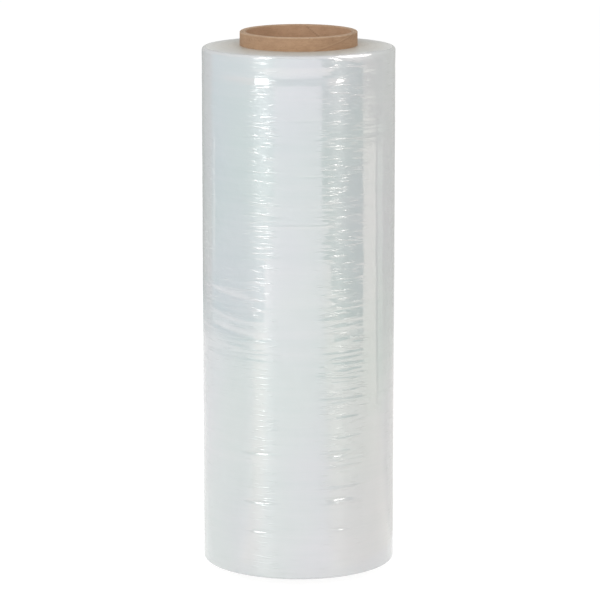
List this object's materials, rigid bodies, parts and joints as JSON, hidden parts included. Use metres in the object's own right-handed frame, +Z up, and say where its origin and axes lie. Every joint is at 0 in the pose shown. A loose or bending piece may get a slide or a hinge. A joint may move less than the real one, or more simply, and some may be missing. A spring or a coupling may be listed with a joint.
{
  "type": "stretch wrap roll",
  "caption": "Hand roll of clear stretch film wound on a spiral paper core that stands out at both ends, for wrapping packs and pallets by hand.",
  "frame": {"origin": "centre of the core's lower rim, on the core's axis, where the roll stands", "axes": "+Z up the core's axis, the roll standing on end; X and Y across it"},
  "size_m": [0.1406, 0.1406, 0.397],
  "materials": {
    "core_board": "matte brown kraft board, spiral wound, with a cut rim",
    "stretch_film": "glossy clear film, cloudy where its turns lie on each other, satin on the end faces"
  },
  "bodies": {
    "root": {"core": "core_board", "film_roll": "stretch_film"}
  },
  "joints": []
}
